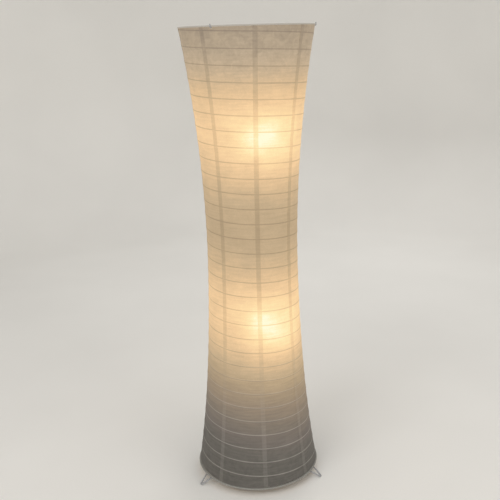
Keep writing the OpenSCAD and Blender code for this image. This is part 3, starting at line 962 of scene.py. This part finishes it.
class LANTERN_OT_feet(bpy.types.Operator):
    """Bends three hairpin feet of coated wire"""

    bl_idname = "lantern.feet"
    bl_label = "Wire feet"

    def execute(self, context):
        stand = context.scene.lantern_stand
        radius = stand.foot_wire / 2
        wire_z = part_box("foot_wire_1")[1].z - radius
        side = stand.foot_gap / 2
        for number in range(1, LEGS + 1):
            turn = stand.foot_angle + (number - 1) * math.tau / LEGS
            # The bend at the tip rounds off the corner, which is moved out by that much
            corner = beside(turn, stand.foot_radius, 0, radius)
            bends = [beside(turn, FOOT_BEND_R, across, wire_z) for across in (-side, side)]
            ways = [unit(bend - corner) for bend in bends]
            half = math.acos(ways[1] @ unit(ways[1] + ways[0]))
            inward = unit(beside(turn, FOOT_BEND_R, 0, wire_z) - corner)
            corner = corner - inward * (FOOT_TIP_BEND / math.sin(half) - FOOT_TIP_BEND)
            corners = [
                beside(turn, FOOT_START_R, -side, wire_z),
                bends[0],
                corner,
                bends[1],
                beside(turn, FOOT_START_R, side, wire_z),
            ]
            path = rounded(corners, [FOOT_BEND, FOOT_TIP_BEND, FOOT_BEND], steps=10)
            # Let down on the floor
            lowest = path[:, 2].min()
            down = np.clip((wire_z - path[:, 2]) / (wire_z - lowest), 0, 1)
            path[:, 2] += (radius - lowest) * down
            foot, node = swept(path, radius, sides=20), f"foot_wire_{number}"
            as_piece(f"hairpin_foot_{number}", foot, powder_coat(), "stand", [node])
        return {"FINISHED"}


ARM_START_R = 9.5 * MM  # in the hub
ARM_MIDDLE = 1.04  # height of an arm's middle over its node's lowest point, in wire radii
HOOK_OUT = 3.2 * MM  # a hook's middle stands this far outside the ring's wire
HOOK_BEND = 3.2 * MM


class LANTERN_OT_spider(bpy.types.Operator):
    """Bends the three arms that hook the top ring, and finishes the hub and its nut"""

    bl_idname = "lantern.spider"
    bl_label = "Spider"

    def execute(self, context):
        stand = context.scene.lantern_stand
        radius = stand.arm_wire / 2
        for number in range(1, ARMS + 1):
            turn = stand.arm_angle + (number - 1) * math.tau / ARMS
            low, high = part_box(f"spider_arm_{number}")
            arm_z = low.z + radius * ARM_MIDDLE
            hook_r = RING_R + HOOK_OUT
            corners = [
                compass(ARM_START_R, turn, arm_z),
                compass(hook_r, turn, arm_z),
                compass(hook_r, turn, high.z - radius),
            ]
            path, node = rounded(corners, [HOOK_BEND], steps=10), f"spider_arm_{number}"
            arm = swept(path, radius)
            as_piece(f"hooked_arm_{number}", arm, powder_coat(), "stand", [node])
        dress(powder_coat(), "spider_hub", bevel=0.5)
        dress(zinc_plate(), "cap_nut", bevel=0.3)
        return {"FINISHED"}


class LANTERN_OT_pole(bpy.types.Operator):
    """Finishes the base, the pole and their fasteners"""

    bl_idname = "lantern.pole"
    bl_label = "Base and pole"

    def execute(self, context):
        dress(powder_coat(), "base_plate", "base_cup", "pole_sleeves", bevel=0.4)
        dress(powder_coat(), "pole_lower", "pole_middle", "pole_upper")
        dress(zinc_plate(), "base_screws", "pole_nut", bevel=0.2)
        dress(bush_rubber(), "cord_bush", bevel=0.3)
        return {"FINISHED"}


# ---- holders and bulbs ----


class LANTERN_OT_holders(bpy.types.Operator):
    """Finishes the brackets and lamp holders"""

    bl_idname = "lantern.holders"
    bl_label = "Lamp holders"

    def execute(self, context):
        for bulb in BULBS:
            dress(powder_coat(), f"{bulb}_bracket", bevel=0.4)
            dress(zinc_plate(), f"{bulb}_nipple")
            dress(moulded_white(), f"{bulb}_holder_shell", bevel=0.3)
            dress(fired_steatite(), f"{bulb}_holder_core")
            dress(rolled_brass(), f"{bulb}_screw_shell", f"{bulb}_contact_spring")
        dress(zinc_plate(), "clamp_screws", "nipple_nuts", bevel=0.2)
        return {"FINISHED"}


# The threaded part of a bulb's cap, in millimetres over the bulb's centre
CAP_R, CAP_LOW, CAP_HIGH = 6.9, -52.2, -34.0
THREAD_PITCH = 2.82
THREAD_HALF = 0.35  # half of the thread's depth
CAP_STEPS = 48  # steps of mesh round a cap


class LANTERN_OT_bulbs(bpy.types.Operator):
    """Rolls the threads of the bulbs' caps and lights their domes"""

    bl_idname = "lantern.bulbs"
    bl_label = "Bulbs"

    def execute(self, context):
        bulbs = context.scene.lantern_bulbs
        for bulb in BULBS:
            centre = compass(bulbs.out, bulbs.turn, getattr(bulbs, bulb))
            as_piece(
                f"{bulb}_threaded_cap",
                self.cap(centre),
                drawn_aluminium(),
                f"{bulb}_bulb",
                [f"{bulb}_bulb_cap"],
                sharp=50,
            )
            dress(moulded_white(), f"{bulb}_bulb_body")
            dress(led_board(), f"{bulb}_led_board")
            dress(opal_dome(), f"{bulb}_bulb_dome")
        return {"FINISHED"}

    @staticmethod
    def cap(centre):
        """Screw cap with a rolled thread, from its contact up to its rim. The outline is in
        millimetres: radius, and height over the bulb's centre."""
        outline = [(0.05, -57.6), (1.6, -57.45), (2.0, -57.2), (2.2, -56.6), (2.2, -56)]
        outline += [(5, -53.2), (6.2, -53), (6.5, -52.7)]
        outline += [(CAP_R, z) for z in np.linspace(CAP_LOW, CAP_HIGH, 66)]
        outline += [(6.5, CAP_HIGH), (6.45, -50.9), (0.05, -50.9)]
        radius, height = np.array(outline).T
        turns = np.linspace(0, math.tau, CAP_STEPS, endpoint=False)
        # The thread runs out over 2 mm at both ends
        from_low = np.clip((height - CAP_LOW) / 2, 0, 1)
        from_high = np.clip((CAP_HIGH - 1 - height) / 2, 0, 1)
        threaded = (radius == CAP_R) * from_low * from_high
        wave = np.cos(height[:, None] / THREAD_PITCH * math.tau - turns)
        radii = radius[:, None] - threaded[:, None] * THREAD_HALF * (1 - wave)
        points = compass(radii * MM, turns, (height * MM)[:, None]) + centre
        return closed_ends(skin(points, closed_columns=True), CAP_STEPS)


LEAD_OFF = 1.6 * MM  # each lead keeps to its own side of the pole's bore
LEAD_START_Y = 9 * MM
LEAD_BENDS = (5 * MM, 2 * MM, 12 * MM)
LEAD_OUT = 98 * MM  # a lead leaves the pole this far under its bulb's centre


class LANTERN_OT_leads(bpy.types.Operator):
    """Threads the mains lead of each holder up the pole and out to it"""

    bl_idname = "lantern.leads"
    bl_label = "Leads"

    def execute(self, context):
        bulbs, stand = context.scene.lantern_bulbs, context.scene.lantern_stand
        for bulb, side in zip(BULBS, (LEAD_OFF, -LEAD_OFF)):
            low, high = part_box(f"{bulb}_lead")
            inlet_z = low.z + stand.lead / 2
            out_z = getattr(bulbs, bulb) - LEAD_OUT
            inside = beside(bulbs.turn, side, side, inlet_z)
            start = np.array([inside[0], LEAD_START_Y, inlet_z])
            corners = [
                start,
                inside,
                beside(bulbs.turn, side, side, out_z),
                beside(bulbs.turn, bulbs.out, side, out_z),
                beside(bulbs.turn, bulbs.out, side, high.z),
            ]
            path = rounded(corners, LEAD_BENDS, steps=10)
            lead, node = swept(path, stand.lead / 2, sides=14), f"{bulb}_lead"
            as_piece(f"{bulb}_mains_lead", lead, lead_sheath(), "stand", [node])
        return {"FINISHED"}


# ---- floor, backdrop, lamps and camera ----

SENSOR_MM = 36
PHOTO_PX = 500
FOCAL_PX = 723.3
CAMERA_AT = (0, -1.898, 1.217)
PITCH_DOWN = 16.37  # degrees
ROLL = -1.63  # degrees: the lamp leans to the left in the photograph
YAW = 0.207  # degrees to the left

LAMPS_AIM = (0, 0, 0.6)
LAMPS = (  # name, place, side of the square lamp, watts
    ("key", (-1.7, -2.3, 2.2), 2.0, 34),
    ("fill", (2.2, -1.7, 1.5), 2.2, 20),
    ("rim", (0.9, 2.4, 2.1), 1.8, 16),
)
WORLD_LIGHT = 0.55
FLOOR_R = 2.6
WALL_CURVE = 1.0  # radius of the curve from floor to wall
WALL_TOP = 2.4
CURVE_STEP = 6  # degrees
FLOOR_STEPS = 96  # steps of mesh round the floor


class LANTERN_OT_stage(bpy.types.Operator):
    """Sets up the pale floor and backdrop, the soft lamps and the camera"""

    bl_idname = "lantern.stage"
    bl_label = "Stage"

    def execute(self, context):
        scene = context.scene
        # A floor that curves up into a wall all round: (radius, height), in metres
        profile = [(0.001, 0), (1, 0), (FLOOR_R, 0)]
        for a in np.radians(np.arange(CURVE_STEP, 91, CURVE_STEP)):
            profile.append((FLOOR_R + WALL_CURVE * math.sin(a), WALL_CURVE * (1 - math.cos(a))))
        profile += [(FLOOR_R + WALL_CURVE, WALL_TOP)]
        radius, height = np.array(profile).T
        turns = np.linspace(0, math.tau, FLOOR_STEPS, endpoint=False)
        made = skin(compass(radius[:, None], turns, height[:, None]), closed_columns=True)
        made.verts.ensure_lookup_table()
        made.faces.new(made.verts[: len(turns)])
        floor = as_object("studio_floor", made, wall_paint())

        world = bpy.data.worlds.new("soft_room")
        world.use_nodes = True
        light = world.node_tree.nodes["Background"]
        light.inputs["Color"].default_value = (*linear("#F4F3F0"), 1)
        light.inputs["Strength"].default_value = WORLD_LIGHT
        scene.world = world
        for name, place, side, watts in LAMPS:
            lamp = bpy.data.lights.new(name, "AREA")
            lamp.size = side
            lamp.energy = watts
            stand = placed(name, lamp)
            stand.location = place
            aim = Vector(LAMPS_AIM) - stand.location
            stand.rotation_euler = aim.to_track_quat("-Z", "Y").to_euler()

        lens = bpy.data.cameras.new("camera")
        lens.sensor_width = SENSOR_MM
        lens.lens = FOCAL_PX / PHOTO_PX * SENSOR_MM
        camera = placed("camera", lens)
        camera.matrix_world = (
            Matrix.Translation(CAMERA_AT)
            @ Matrix.Rotation(math.radians(YAW), 4, "Z")
            @ Matrix.Rotation(math.radians(90 - PITCH_DOWN), 4, "X")
            @ Matrix.Rotation(math.radians(ROLL), 4, "Z")
        )
        scene.camera = camera
        scene.view_settings.view_transform = "Standard"
        return {"FINISHED"}


class LANTERN_PT_panel(bpy.types.Panel):
    """Lists the pieces of the lantern"""

    bl_idname = "LANTERN_PT_panel"
    bl_label = "Lantern"
    bl_space_type = "VIEW_3D"
    bl_region_type = "UI"
    bl_category = "Lantern"

    def draw(self, context):
        for operator in OPERATORS:
            self.layout.operator(operator.bl_idname)
        for group in GROUPS:
            box = self.layout.box()
            for name in GROUPS[group].__annotations__:
                box.prop(getattr(context.scene, group), name)


GROUPS = {
    "lantern_shade": LanternShade,
    "lantern_stand": LanternStand,
    "lantern_bulbs": LanternBulbs,
    "lantern_colours": LanternColours,
}
OPERATORS = (
    LANTERN_OT_paper,
    LANTERN_OT_rib_wire,
    LANTERN_OT_bindings,
    LANTERN_OT_feet,
    LANTERN_OT_pole,
    LANTERN_OT_spider,
    LANTERN_OT_holders,
    LANTERN_OT_bulbs,
    LANTERN_OT_leads,
    LANTERN_OT_stage,
)


def register():
    for name, group in GROUPS.items():
        bpy.utils.register_class(group)
        setattr(bpy.types.Scene, name, PointerProperty(type=group))
    for operator in OPERATORS:
        bpy.utils.register_class(operator)
    bpy.utils.register_class(LANTERN_PT_panel)


def unregister():
    bpy.utils.unregister_class(LANTERN_PT_panel)
    for operator in reversed(OPERATORS):
        bpy.utils.unregister_class(operator)
    for name, group in GROUPS.items():
        delattr(bpy.types.Scene, name)
        bpy.utils.unregister_class(group)


def main():
    """Builds the lamp and its stage."""
    register()
    for operator in OPERATORS:
        group, name = operator.bl_idname.split(".")
        getattr(getattr(bpy.ops, group), name)()


if __name__ == "__main__":
    main()
